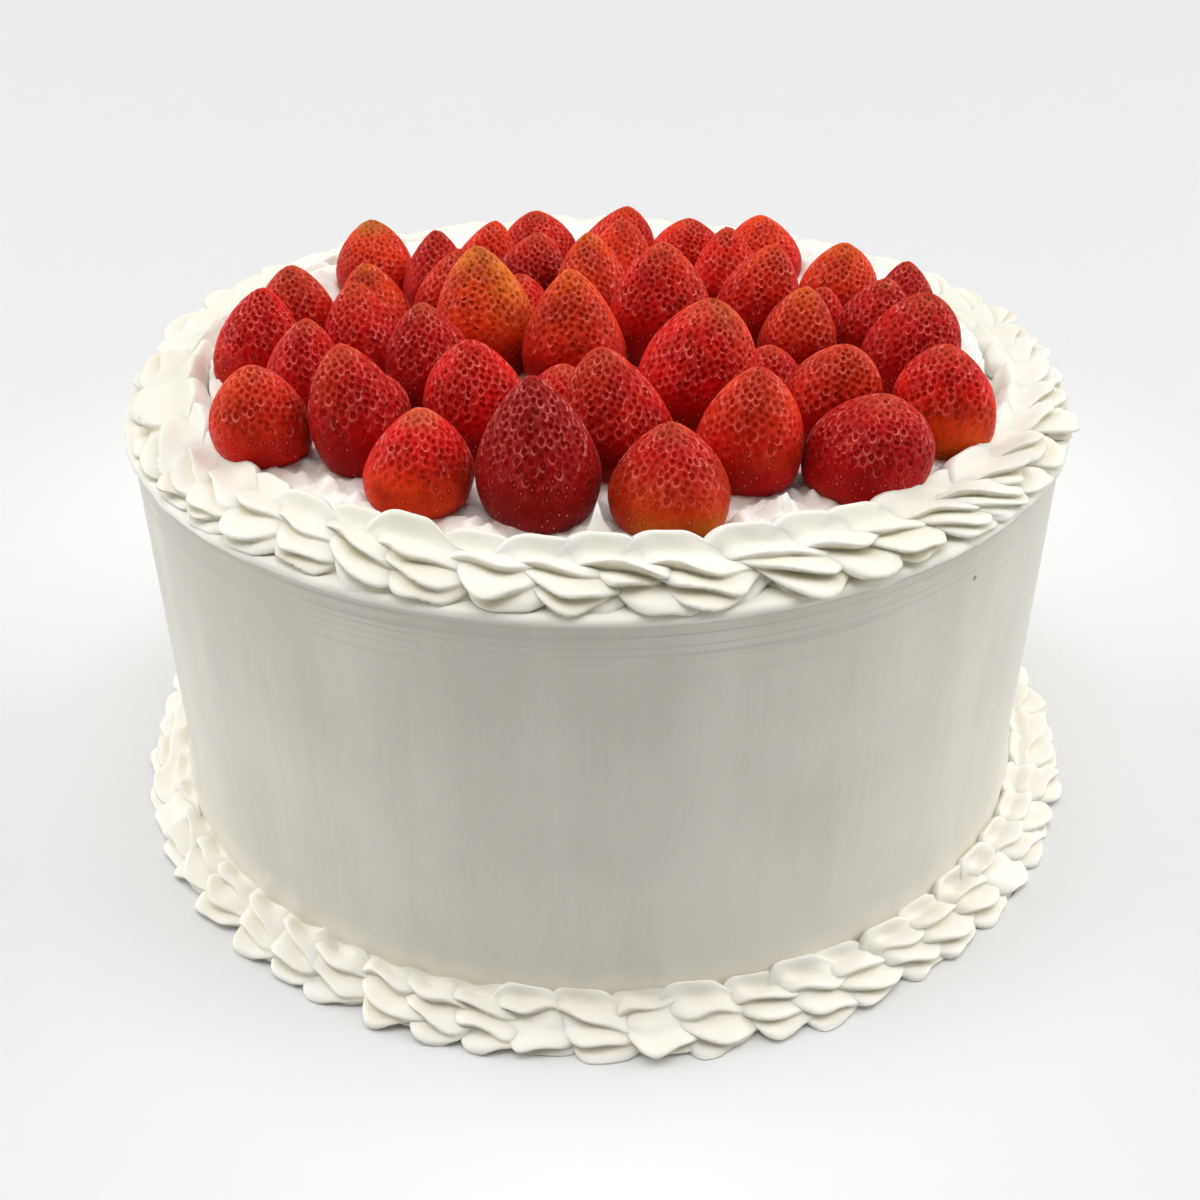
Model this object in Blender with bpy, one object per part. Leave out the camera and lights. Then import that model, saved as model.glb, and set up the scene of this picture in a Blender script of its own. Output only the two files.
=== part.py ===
"""A tall round cream cake with piped shell borders and a heap of fresh strawberries.

Metres, +Z up. The cake stands on z = 0 with its axis on the Z axis, and its front is toward -Y.
"""
import math
import random

import bpy

MM = 0.001

# Cake: a ten-inch round, straight walled, with a thin lip round its top edge
WALL_RADIUS = 127.0 * MM
CAKE_HEIGHT = 118.0 * MM
LIP_PROUD = 0.9 * MM
LIP_DEPTH = 2.0 * MM
LIP_ROUND = 0.5 * MM
WALL_SIDES = 64

# Clear distance between neighbouring pieces
GAP = 0.3 * MM

# Cream spread over the top, under the berries
CREAM_DEPTH = 1.4 * MM
CREAM_EDGE_SLOPE = 0.5 * MM
CREAM_SPOKES = 72
CREAM_FLAT_RINGS = (0.50, 0.76)
CREAM_PEAKED_RINGS = (0.84, 0.92)
CREAM_PEAK = 3.6 * MM
CREAM_PEAK_CLEARANCE = 5.5 * MM

# Piped borders: how many shells go round, and how each shell swells from tail to head
TOP_SHELLS = 49
BASE_SHELLS = 60
SHELL_STATIONS = (0.03, 0.33, 0.66, 0.97)
SHELL_SWELL = (1.00, 0.88, 0.52, 0.0)
SHELL_UNEVENNESS = 0.16
BORDER_INNER_RADIUS = 106.5 * MM
BORDER_CREST = 12.0 * MM
SHELL_WANDER = 0.5 * MM
TOP_BORDER_SHIFT = (1.0 * MM, 0.0)
TOP_BORDER_SPREAD = 4.0 * MM
BASE_BORDER_SHIFT = (1.4 * MM, -0.8 * MM)

# How high the rim's border stands at an angle in degrees, as a share. It has sunk and spread at the
# back right.
TOP_BORDER_LEVEL = (
    (-180, 1.12), (-150, 1.08), (-120, 1.0), (-40, 1.0), (0, 0.72), (25, 0.50), (65, 0.50), (90, 0.72),
    (115, 0.82), (140, 1.08), (180, 1.12),
)

# Border sections from the inner foot over the crest to the outer foot. Each row gives, in mm,
# the distance from the wall's radius, the height over the seat, how far a shell's head swells
# outward and upward there, and in shells how far the fold is drawn on along the ring.
TOP_SECTION = (
    (-20.5, 0.0, 0.0, 0.0, 0.00),
    (-19.5, 5.0, -0.6, 1.0, 0.00),
    (-16.8, 8.0, 0.0, 2.2, 0.05),
    (-11.6, 6.0, 0.3, 0.8, 0.20),
    (-6.2, 6.4, 0.8, 1.6, 0.40),
    (-2.6, 4.8, 2.6, 0.8, 0.60),
    (-2.2, 3.2, 0.4, 0.2, 0.72),
    (0.3, 2.0, 2.4, 0.5, 0.95),
    (-0.4, 0.0, 1.4, 0.0, 1.10),
)
BASE_SECTION = (
    (0.4, 0.0, 0.0, 0.0, 0.00),
    (0.4, 8.4, 0.0, 1.5, 0.00),
    (3.2, 6.0, 0.3, 1.6, 0.10),
    (6.6, 6.6, 0.6, 2.6, 0.25),
    (8.8, 4.4, 0.4, 0.8, 0.38),
    (12.2, 3.9, 2.0, 1.6, 0.52),
    (11.8, 2.3, 0.5, 0.3, 0.62),
    (14.2, 1.1, 2.8, 0.7, 0.78),
    (13.8, 0.0, 2.6, 0.0, 0.86),
)

# Strawberry form: a hulled berry stands on its cut face and comes to a rounded tip
BERRY_SIDES = 10
BERRY_LEVELS = (0.0, 0.30, 0.66, 0.93)
BERRY_WIDEST = 0.32
BERRY_CUT_FACE = 0.70
POINTED, PLAIN, BLUNT = 1.45, 1.75, 2.3

# Each berry in mm: place of its cut face (x, y), height, width, lean of its tip (x, y), shape
BERRIES = (
    # Front rim, from left to right
    (-81, -57, 25, 25, 0, -3, PLAIN),
    (-42, -81, 24, 26, 2, 0, POINTED),
    (-13, -87, 34, 28, -1, 0, POINTED),
    (17, -91, 24, 28, 0, 2, POINTED),
    (62, -75, 24, 29, 3, -1, BLUNT),
    (85, -53, 28, 25, -2, -3, BLUNT),
    # Second row
    (-56, -62, 31, 25, -4, 0, PLAIN),
    (-29, -57, 30, 25, -1, 0, BLUNT),
    (7, -64, 31, 27, -6, 0, PLAIN),
    (34, -72, 30, 26, 2, -2, PLAIN),
    (56, -47, 26, 25, 4, -4, BLUNT),
    # Left side
    (-92, -16, 27, 23, 4, 3, PLAIN),
    (-77, -32, 25, 21, 3, 2, PLAIN),
    (-60, -14, 27, 22, -4, 6, PLAIN),
    (-42, -27, 27, 24, -3, 3, PLAIN),
    (-84, 13, 24, 23, -1, 0, PLAIN),
    (-61, 8, 25, 22, -3, 4, PLAIN),
    # Middle
    (-6, -17, 33, 28, -1, 1, POINTED),
    (23, -41, 34, 30, 5, 0, BLUNT),
    (-30, -4, 34, 28, -2, 3, PLAIN),
    (17, 5, 33, 29, 1, 0, PLAIN),
    (54, -5, 24, 22, 2, 0, PLAIN),
    (46, 17, 28, 25, 6, 0, PLAIN),
    # Right side
    (80, -24, 29, 26, 4, 0, BLUNT),
    (75, 1, 24, 22, 4, 0, PLAIN),
    (88, 18, 21, 20, 1, 6, POINTED),
    (71, 36, 22, 24, 2, 1, PLAIN),
    # Behind the middle
    (-44, 20, 26, 23, 5, 1, PLAIN),
    (-23, 44, 23, 24, 6, 0, PLAIN),
    (-3, 27, 27, 24, -1, 5, POINTED),
    (7, 54, 23, 23, 1, 4, POINTED),
    (39, 46, 23, 23, 0, 4, POINTED),
    # Back rim, from left to right
    (-68, 52, 23, 25, -1, 5, PLAIN),
    (-49, 40, 24, 21, 1, 4, POINTED),
    (-37, 64, 20, 21, 6, 2, POINTED),
    (-17, 78, 19, 24, -2, 0, PLAIN),
    (5, 79, 20, 24, 5, 0, POINTED),
    (27, 69, 20, 25, 1, -2, PLAIN),
    (53, 67, 20, 24, -2, 3, PLAIN),
    # Low berries that fill the hollows of the heap
    (-9, -41, 17, 20, 0, 0, PLAIN),
    (-26, -36, 17, 15, 0, 0, PLAIN),
    (-54, -42, 15, 14, 0, 0, PLAIN),
    (-8, 7, 19, 19, 0, 0, PLAIN),
    (34, -14, 17, 18, 0, 0, PLAIN),
    (61, -27, 16, 14, 0, 0, PLAIN),
    (44, -25, 16, 19, 0, 0, PLAIN),
    (-22, 23, 18, 18, 0, 0, PLAIN),
    (22, 33, 19, 19, 0, 0, PLAIN),
    (62, 17, 16, 14, 0, 0, PLAIN),
    (-68, 29, 15, 16, 0, 0, PLAIN),
)

# Settling of the heap, which eases neighbours apart until they only just clear each other
SETTLE_SWEEPS = 40
SETTLE_LEVELS = 8

# Looks: colour (linear RGB), roughness and metallic value
CAKE_LOOK = ((0.80, 0.80, 0.78), 0.55, 0.0)
TOP_CREAM_LOOK = ((0.87, 0.78, 0.76), 0.50, 0.0)
BORDER_LOOK = ((0.88, 0.87, 0.83), 0.45, 0.0)
BERRY_LOOK = ((0.55, 0.018, 0.015), 0.35, 0.0)


def clear_scene():
    """Removes every object that the file starts with."""
    for obj in list(bpy.data.objects):
        bpy.data.objects.remove(obj, do_unlink=True)


def make_material(name, look):
    """A Principled material with a plain colour."""
    colour, roughness, metallic = look
    material = bpy.data.materials.new(name)
    material.use_nodes = True
    shader = material.node_tree.nodes["Principled BSDF"]
    shader.inputs["Base Color"].default_value = (*colour, 1.0)
    shader.inputs["Roughness"].default_value = roughness
    shader.inputs["Metallic"].default_value = metallic
    return material


def make_object(name, points, faces, material, sharp_faces=()):
    """A smooth-shaded mesh object, apart from the faces named as sharp."""
    mesh = bpy.data.meshes.new(name)
    mesh.from_pydata(points, [], faces)
    for polygon in mesh.polygons:
        polygon.use_smooth = polygon.index not in sharp_faces
    mesh.materials.append(material)
    mesh.update()
    obj = bpy.data.objects.new(name, mesh)
    bpy.context.scene.collection.objects.link(obj)
    return obj


def ring_faces(rings, sides):
    """Quads between rings of points, from the lowest ring to the highest, facing out."""
    faces = []
    for ring in range(rings - 1):
        for side in range(sides):
            after = (side + 1) % sides
            low, high = ring * sides, (ring + 1) * sides
            faces.append((low + side, low + after, high + after, high + side))
    return faces


def circle(radius, height, sides, centre=(0.0, 0.0)):
    """Points round a level circle."""
    step = math.tau / sides
    return [
        (centre[0] + radius * math.cos(step * i), centre[1] + radius * math.sin(step * i), height)
        for i in range(sides)
    ]


def build_cake_body():
    """The solid cake: a straight wall with a thin lip at its top edge."""
    lip_foot = CAKE_HEIGHT - LIP_DEPTH
    outline = (
        (WALL_RADIUS, 0.0),
        (WALL_RADIUS, lip_foot),
        (WALL_RADIUS + LIP_PROUD, lip_foot + LIP_ROUND),
        (WALL_RADIUS + LIP_PROUD, CAKE_HEIGHT - LIP_ROUND),
        (WALL_RADIUS, CAKE_HEIGHT),
    )
    points = []
    for radius, height in outline:
        points += circle(radius, height, WALL_SIDES)
    faces = ring_faces(len(outline), WALL_SIDES)
    bottom = tuple(reversed(range(WALL_SIDES)))
    top = tuple(range(len(points) - WALL_SIDES, len(points)))
    caps = {len(faces), len(faces) + 1}
    faces += [bottom, top]
    return make_object("cake_body", points, faces, make_material("cake_cream", CAKE_LOOK), caps)


def berry_radius(berry, level):
    """A berry's radius at a level from 0 at the cut face to 1 at the tip."""
    half_width = berry["width"] / 2
    if level < BERRY_WIDEST:
        below = (BERRY_WIDEST - level) / BERRY_WIDEST
        return half_width * (BERRY_CUT_FACE + (1 - BERRY_CUT_FACE) * math.sqrt(1 - below**2))
    above = (level - BERRY_WIDEST) / (1 - BERRY_WIDEST)
    return half_width * max(0.0, 1 - above ** berry["shape"]) ** 0.74


def berry_centre(berry, level):
    """Where a berry's axis is at a level."""
    return (berry["x"] + berry["lean_x"] * level, berry["y"] + berry["lean_y"] * level)


def overlap(first, second):
    """How far two berries would run into each other, and the direction from one to the other."""
    worst, direction = -1.0, (1.0, 0.0)
    lower = min(first["height"], second["height"])
    for step in range(SETTLE_LEVELS):
        height = lower * step / SETTLE_LEVELS
        level_a, level_b = height / first["height"], height / second["height"]
        ax, ay = berry_centre(first, level_a)
        bx, by = berry_centre(second, level_b)
        apart = math.hypot(bx - ax, by - ay)
        pressed = berry_radius(first, level_a) + berry_radius(second, level_b) + GAP - apart
        if pressed > worst:
            worst, direction = pressed, ((bx - ax) / apart, (by - ay) / apart)
    return worst, direction


def settle(berries):
    """Moves neighbours apart in small steps until they clear each other."""
    for _ in range(SETTLE_SWEEPS):
        for index, first in enumerate(berries):
            for second in berries[index + 1:]:
                pressed, direction = overlap(first, second)
                if pressed <= 0:
                    continue
                for berry, sign in ((first, -0.5), (second, 0.5)):
                    berry["x"] += sign * pressed * direction[0]
                    berry["y"] += sign * pressed * direction[1]


def place_berries():
    """The heap of berries in metres, settled."""
    berries = []
    for x, y, height, width, lean_x, lean_y, shape in BERRIES:
        berries.append({
            "x": x * MM, "y": y * MM, "height": height * MM, "width": width * MM,
            "lean_x": lean_x * MM, "lean_y": lean_y * MM, "shape": shape,
        })
    settle(berries)
    return berries


def build_berry(name, berry, turn, material):
    """One strawberry on its cut face: level rings up to a rounded tip."""
    seat = CAKE_HEIGHT + GAP + CREAM_DEPTH + GAP
    points = []
    for level in BERRY_LEVELS:
        cx, cy = berry_centre(berry, level)
        radius = berry_radius(berry, level)
        for side in range(BERRY_SIDES):
            angle = turn + math.tau * side / BERRY_SIDES
            height = seat + berry["height"] * level
            points.append((cx + radius * math.cos(angle), cy + radius * math.sin(angle), height))
    tip = len(points)
    points.append((*berry_centre(berry, 1.0), seat + berry["height"]))
    faces = ring_faces(len(BERRY_LEVELS), BERRY_SIDES)
    last = tip - BERRY_SIDES
    for side in range(BERRY_SIDES):
        faces.append((last + side, last + (side + 1) % BERRY_SIDES, tip))
    cut_face = len(faces)
    faces.append(tuple(reversed(range(BERRY_SIDES))))
    return make_object(name, points, faces, material, {cut_face})


def build_berries(berries, dice):
    """All strawberries, each turned its own way."""
    material = make_material("strawberry", BERRY_LOOK)
    for number, berry in enumerate(berries, start=1):
        build_berry(f"strawberry_{number:02d}", berry, dice.uniform(0, math.tau), material)


def berry_reach(berries, angle):
    """How far out the heap reaches in one direction from the cake's axis."""
    reach = 0.0
    for berry in berries:
        for step in range(SETTLE_LEVELS):
            level = step / SETTLE_LEVELS
            if berry["height"] * level > BORDER_CREST:
                break
            x, y = berry_centre(berry, level)
            radius = berry_radius(berry, level)
            along = x * math.cos(angle) + y * math.sin(angle)
            across = -x * math.sin(angle) + y * math.cos(angle)
            if along > 0 and abs(across) < radius:
                reach = max(reach, along + math.sqrt(radius**2 - across**2))
    return reach


def build_top_cream(berries, dice):
    """The cream under the berries: flat where they stand, with small peaks in the open places."""
    seat = CAKE_HEIGHT + GAP
    edge = BORDER_INNER_RADIUS - 3 * GAP
    bottom = circle(edge, seat, CREAM_SPOKES)
    rings = [circle(edge, seat + CREAM_DEPTH - CREAM_EDGE_SLOPE, CREAM_SPOKES)]
    for share in reversed(CREAM_PEAKED_RINGS):
        ring = []
        for x, y, height in circle(edge * share, seat + CREAM_DEPTH, CREAM_SPOKES):
            clear = min(math.hypot(x - b["x"], y - b["y"]) - b["width"] / 2 for b in berries)
            if clear > CREAM_PEAK_CLEARANCE:
                height += CREAM_PEAK * dice.uniform(0.5, 1.0)
            ring.append((x, y, height))
        rings.append(ring)
    for share in reversed(CREAM_FLAT_RINGS):
        rings.append(circle(edge * share, seat + CREAM_DEPTH, CREAM_SPOKES))
    points = list(bottom)
    for ring in rings:
        points += ring
    middle = len(points)
    points.append((0.0, 0.0, seat + CREAM_DEPTH))
    faces = ring_faces(len(rings) + 1, CREAM_SPOKES)
    last = middle - CREAM_SPOKES
    for side in range(CREAM_SPOKES):
        faces.append((last + side, last + (side + 1) % CREAM_SPOKES, middle))
    underside = len(faces)
    faces.append(tuple(reversed(range(CREAM_SPOKES))))
    material = make_material("top_cream", TOP_CREAM_LOOK)
    return make_object("top_cream", points, faces, material, {underside})


def rim_level(angle):
    """How high the rim's border stands at an angle in radians, as a share."""
    turned = (math.degrees(angle) + 180) % 360 - 180
    for (low, start), (high, end) in zip(TOP_BORDER_LEVEL, TOP_BORDER_LEVEL[1:]):
        if turned <= high:
            return start + (end - start) * (turned - low) / (high - low)
    return TOP_BORDER_LEVEL[-1][1]


def build_border(name, section, shells, seat, shift, push, level, dice):
    """A ring of piped shells, each swelling at its head and tucked under the next at its tail.

    shift is how far off centre the ring was piped, in x and y. push(angle) says how far its inner
    side is pressed outward at an angle, and level(angle) how high the border stands, as a share.
    """
    step = math.tau / shells
    inner_rows = 3
    points = []
    for shell in range(shells):
        size = 1 + dice.uniform(-SHELL_UNEVENNESS, SHELL_UNEVENNESS)
        wander = dice.uniform(-SHELL_WANDER, SHELL_WANDER)
        for station, swelling in zip(SHELL_STATIONS, SHELL_SWELL):
            for row, (out, height, swell_out, swell_up, drawn) in enumerate(section):
                angle = step * (shell + station + drawn)
                grow = size * swelling
                radius = WALL_RADIUS + (out + grow * swell_out) * MM
                if row >= inner_rows:
                    radius += wander + shift[0] * math.cos(angle) + shift[1] * math.sin(angle)
                    radius += max(0.0, 1 - level(angle)) * TOP_BORDER_SPREAD
                else:
                    radius += push(angle)
                lift = (height + grow * swell_up) * level(angle) * MM
                points.append((radius * math.cos(angle), radius * math.sin(angle), seat + lift))
    around, across = shells * len(SHELL_STATIONS), len(section)
    faces = []
    for column in range(around):
        after = (column + 1) % around
        for row in range(across):
            following = (row + 1) % across
            faces.append((
                column * across + row, column * across + following,
                after * across + following, after * across + row,
            ))
    return make_object(name, points, faces, make_material(name, BORDER_LOOK))


def build_top_border(berries, dice):
    """The shells on the cake's rim, pressed out where a berry leans on them."""
    def push(angle):
        clear = berry_reach(berries, angle) + 3 * GAP
        return max(0.0, clear - BORDER_INNER_RADIUS)

    seat = CAKE_HEIGHT + GAP
    build_border("top_border", TOP_SECTION, TOP_SHELLS, seat, TOP_BORDER_SHIFT, push, rim_level, dice)


def build_base_border(dice):
    """The shells round the cake's foot, against the wall."""
    def push(_angle):
        return 0.0

    def level(_angle):
        return 1.0

    build_border("base_border", BASE_SECTION, BASE_SHELLS, 0.0, BASE_BORDER_SHIFT, push, level, dice)


def main():
    """Builds the cake."""
    clear_scene()
    dice = random.Random(7)
    berries = place_berries()
    build_cake_body()
    build_top_cream(berries, dice)
    build_top_border(berries, dice)
    build_base_border(dice)
    build_berries(berries, dice)


main()
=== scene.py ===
"""Looks of a birthday cake: a smooth cream wall, piped shell borders and a heap of strawberries."""

import math

import bmesh
import bpy
import numpy as np
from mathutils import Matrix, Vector


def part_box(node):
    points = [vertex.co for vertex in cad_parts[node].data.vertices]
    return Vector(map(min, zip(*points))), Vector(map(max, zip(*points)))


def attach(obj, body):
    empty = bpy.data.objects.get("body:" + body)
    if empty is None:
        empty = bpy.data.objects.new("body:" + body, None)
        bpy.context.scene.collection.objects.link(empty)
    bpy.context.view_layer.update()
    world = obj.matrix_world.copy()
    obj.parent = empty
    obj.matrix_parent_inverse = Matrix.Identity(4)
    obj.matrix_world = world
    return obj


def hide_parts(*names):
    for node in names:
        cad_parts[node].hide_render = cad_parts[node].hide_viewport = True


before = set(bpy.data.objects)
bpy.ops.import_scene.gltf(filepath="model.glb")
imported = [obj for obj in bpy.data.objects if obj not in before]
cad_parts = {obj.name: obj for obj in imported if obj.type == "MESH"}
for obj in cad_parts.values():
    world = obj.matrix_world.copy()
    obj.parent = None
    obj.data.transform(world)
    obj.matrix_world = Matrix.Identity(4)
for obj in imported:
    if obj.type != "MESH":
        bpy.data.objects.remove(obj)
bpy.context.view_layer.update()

MM = 0.001
SEED = 11
GOLDEN_ANGLE = math.pi * (3 - math.sqrt(5))

# Camera: its lens, in pixels of the square photo, its place, how far it looks up from straight down, and
# its roll, in degrees
PHOTO_WIDTH = 1200
FOCAL_PIXELS = 1415.3
SENSOR_MM = 36.0
CAMERA_PLACE = (0.0005, -0.3709, 0.2769)
CAMERA_TILT = 57.56
CAMERA_ROLL = -0.195

# Floor: how far it reaches and how far it lies under the cake, its near greys, lighter as painted light
# round the cake, its far grey, darker as painted shade, and the distances from a point near the cake's
# middle at which it turns from one to the other
FLOOR_REACH = 10.0
FLOOR_GAP = 0.2 * MM
FLOOR_NEAR_PAINTED_LIGHT = ((0.735, 0.735, 0.735), (0.755, 0.755, 0.755))
FLOOR_FAR_PAINTED_SHADE = (0.655, 0.655, 0.655)
FLOOR_MIDDLE = (0.0, 0.05, 0.0)
FLOOR_TURN = (0.17, 0.33)

# Backdrop: its radius and its two greys
BACKDROP_RADIUS = 0.9 * FLOOR_REACH
BACKDROP_GREYS = ((0.83, 0.83, 0.83), (0.85, 0.85, 0.85))

# Light: the room's, then each soft light's direction, strength and spread in degrees
ROOM_LIGHT = 0.125
LIGHTS = (
    ("overhead", (0.0, 0.0, -1.0), 1.90, 50),
    ("left", (1.0, -0.25, -0.60), 1.90, 60),
    ("right", (-1.0, -0.25, -0.60), 2.05, 60),
)

# Cake sizes, read from the frame, and how far the lip stands out
LIP_PROUD = 0.9 * MM
CAKE_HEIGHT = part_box("cake_body")[1].z
WALL_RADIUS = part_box("cake_body")[1].x - LIP_PROUD
TOP_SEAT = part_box("top_border")[0].z
CREAM_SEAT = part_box("top_cream")[0].z
CREAM_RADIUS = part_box("top_cream")[1].x
CREAM_LEVEL = CREAM_SEAT + 1.4 * MM

# Wall: how finely it is divided, its slow waves, its fillet at the foot, and its underside and flat top
WALL_AROUND = 360
WALL_ROWS = 70
WALL_WAVE = 0.25 * MM
FOOT_FILLET = 1.7 * MM
FILLET_HEIGHTS = (18 * MM, 8 * MM)
UNDERSIDE_RADIUS = WALL_RADIUS - 3 * MM
TOP_RADII = (WALL_RADIUS - 4 * MM, 40 * MM)

# Lip at the wall's top edge: its depth, its rows of height and width in mm, how jagged its lower edge is,
# up to which row, and how soft the line is where its lighter colour, painted light, starts
LIP_DEPTH = 2.0 * MM
LIP_OUTLINE = ((0.02, 0.3), (0.12, 1.2), (0.40, 1.6), (0.9, 1.5), (1.5, 1.0), (2.0, 0.2))
LIP_JAG = 0.18 * MM
LIP_JAGGED_UP_TO = 0.5
LIP_SOFT = 0.2 * MM

# Marks on the wall: the scales of its streaks and of its scraper lines, the heights between which the lines
# appear, the heights and the shift of painted shade that darkens the tone towards the top and painted light
# that lightens it towards the foot, the smear at the foot, and the dark speck on the right
STREAK_SCALE = (38.0, 38.0, 4.0)
LINE_SCALE = (5.0, 5.0, 430.0)
LINE_HEIGHTS = (CAKE_HEIGHT - 22 * MM, CAKE_HEIGHT - 4 * MM)
LIGHT_AND_SHADE_HEIGHTS = (30 * MM, 112 * MM)
LIGHT_AND_SHADE_SHIFT = 0.05
SMEAR_HEIGHTS = (12 * MM, 18 * MM)
SMEAR_RAGGED = 7 * MM
SPECK_TURN = math.radians(-46.7)
SPECK_PLACE = (WALL_RADIUS * math.cos(SPECK_TURN), WALL_RADIUS * math.sin(SPECK_TURN), 105.6 * MM)
SPECK_RADIUS = 0.75 * MM

# Linear colours of cream: the darker and the lighter tone of each part, then its marks, among them painted
# light and shade
# Painted shade: the wall's cream is darker than the rest of the cream
WALL_CREAM_PAINTED_SHADE = ((0.645, 0.620, 0.540), (0.760, 0.735, 0.650))
RIM_CREAM = ((0.810, 0.790, 0.700), (0.830, 0.815, 0.745))
# Painted light: the foot's and the bed's cream are lighter than the rim's
FOOT_CREAM_PAINTED_LIGHT = ((0.900, 0.870, 0.780), (0.910, 0.885, 0.810))
BED_CREAM_PAINTED_LIGHT = ((0.940, 0.895, 0.825), (0.950, 0.925, 0.860))
# Painted light on the lip
LIP_PAINTED_LIGHT = (0.80, 0.78, 0.70)
LINE_TINT = (0.44, 0.425, 0.36)
SMEAR_TINT = (0.83, 0.785, 0.655)
SPECK_TINT = (0.12, 0.11, 0.09)
# Painted shade in the piped shells' creases, darker and yellower
CREASE_SHADE_TINT = (0.60, 0.51, 0.17)
# Juice stain, and painted shade with red reflected light, in the cream between the berries
JUICE_AND_SHADE_TINT = (0.84, 0.42, 0.36)

# Berries: seed spacing at the foot and at the tip, the level where they are widest, their cut face's width
# as a share, how round their tips are, and how lumpy they are
FOOT_SPACING = 2.7 * MM
TIP_SPACING = 1.75 * MM
BERRY_WIDEST = 0.32
BERRY_CUT_FACE = 0.70
TIP_ROUND = 0.74
BERRY_LUMPS = 0.030

# Cells round the seeds: their area over their spacing squared, and how much less a way up the skin counts
# than one round it, which makes the marks taller than wide
CELL_AREA = 0.866
CELL_SQUEEZE = 0.72

# Pits and the ridges between them: depth, width as a share of the cell, height, and the levels where they
# start and are full
PIT_DEPTH = 0.42 * MM
PIT_SHARE = 0.52
PIT_LEVELS = (0.24, 0.60)
RIDGE_HEIGHT = 0.12 * MM
RIDGE_LEVELS = (0.34, 0.68)

# Ball over which a berry's seeds are spread, to find their neighbours: the height where they start, and the
# ring of points under them that marks the cut face's edge
BALL_FOOT = -0.92
BALL_RING = -0.965
RING_POINTS = 24

# Piped borders. The outline of a shell goes from its inner foot over the crest to its outer foot and back
# underneath, in mm outside the wall's radius and over the seat.
RIM_OUTLINE = (
    (-20.6, 0.0), (-20.8, 4.4), (-19.5, 8.0), (-17.5, 9.7), (-15.4, 8.0), (-13.2, 6.5), (-10.8, 6.0),
    (-8.2, 6.0), (-5.5, 5.2), (-2.8, 3.7), (-0.4, 1.9), (1.2, -0.1), (1.0, -1.9), (-8.5, -0.2),
    (-15.0, -0.2),
)
FOOT_OUTLINE = (
    (-1.6, 0.0), (-1.6, 6.6), (0.1, 10.0), (2.6, 8.3), (5.2, 7.6), (7.8, 6.2), (10.3, 4.6), (12.8, 2.9),
    (14.6, 1.1), (14.0, 0.0), (8.0, 0.0), (3.0, 0.0),
)

# Kinds of shell: the share of the shells that are of this kind, then its folds. A fold is given by the
# outline row of its edge at the shell's head, how many rows it slips down along the shell, how many rows it
# rises at the shell's ends, its height in mm, and where along the shell it stands out most.
RIM_KINDS = (
    (0.30, ((5.9, 1.6, 0.1, 2.0, 0.50), (7.9, 1.4, 0.1, 2.0, 0.60), (9.9, 0.6, 0.4, 2.2, 0.50))),
    (0.27, ((4.9, 4.0, 0.0, 2.5, 0.60), (8.4, 2.2, 0.1, 1.9, 0.85))),
    (0.18, ((7.0, 0.6, 0.3, 2.7, 0.60), (9.9, 0.5, 0.5, 2.8, 0.45))),
    (0.25, ((5.6, 2.6, 0.0, 2.2, 0.55), (8.8, -0.3, 0.5, 2.0, 0.35), (10.1, 0.6, 0.3, 1.6, 0.90))),
)
FOOT_KINDS = (
    (0.35, ((4.0, 0.9, 0.1, 1.8, 0.50), (6.0, 0.8, 0.1, 2.1, 0.50), (8.4, -0.3, 0.1, 1.8, 0.45))),
    (0.25, ((3.5, 1.8, 0.0, 2.0, 0.55), (6.6, 0.3, 0.2, 2.2, 0.45), (8.6, -0.2, 0.2, 1.5, 0.50))),
    (0.25, ((4.6, 0.4, 0.2, 1.8, 0.70), (5.9, 1.2, 0.0, 2.1, 0.60), (8.3, -0.3, 0.1, 2.0, 0.40))),
    (0.15, ((4.2, -0.3, 0.2, 2.2, 0.40), (7.2, 0.2, 0.3, 2.4, 0.50))),
)

# Shells: points round one, how many of them are hidden underneath, its length in spacings, how deep the
# groove past a fold is, and how strong the painted shade in the creases is
SHELL_ROUND = 64
HIDDEN_POINTS = 7
SHELL_LENGTH = 1.7
GROOVE = 0.5
CREASE_SHADE_STRENGTH = 0.48

# How high the rim's border stands at an angle in degrees, as a share, and how far it spreads in mm where it
# has sunk. It has sunk most at the back right, and a little at the front left and front right.
RIM_LEVEL = (
    (-180, -160, -146, -130, -115, -70, -52, -30, 0, 25, 65, 90, 115, 140, 180),
    (1.12, 1.0, 0.70, 0.82, 1.0, 1.0, 0.82, 0.90, 0.72, 0.50, 0.50, 0.72, 0.82, 1.08, 1.12),
)
RIM_SPREAD = 4.0

# The two borders: the middle that a shell turns about and its shift from the cake's middle, in mm; how many
# shells and rings along each; its seat; its lowest point, in mm; the outline rows that show; the length of
# its rounded head; how far its foot is drawn along; its folds' width, overhang and painted shade under
# them;
# and its scoop's row, width and depth.
RIM = {
    "outline": RIM_OUTLINE, "kinds": RIM_KINDS, "level": RIM_LEVEL, "middle": (-11.0, 3.0),
    "shift": (1.0, 0.0), "shells": 49, "rings": 30, "seat": TOP_SEAT, "lowest": -2.4, "shown": 12.0,
    "cap": 0.60, "draw": 0.85, "fold_width": 2.0, "overhang": 0.75, "tint": 0.85, "scoop": (4.7, 1.0, 0.7),
}
FOOT = {
    "outline": FOOT_OUTLINE, "kinds": FOOT_KINDS, "level": ((-180, 180), (1.0, 1.0)), "middle": (6.0, 2.2),
    "shift": (1.4, -0.8), "shells": 60, "rings": 24, "seat": 0.0, "lowest": 0.0, "shown": 9.2,
    "cap": 0.42, "draw": 0.45, "fold_width": 1.4, "overhang": 0.40, "tint": 0.50, "scoop": (3.3, 0.8, 2.0),
}

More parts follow.
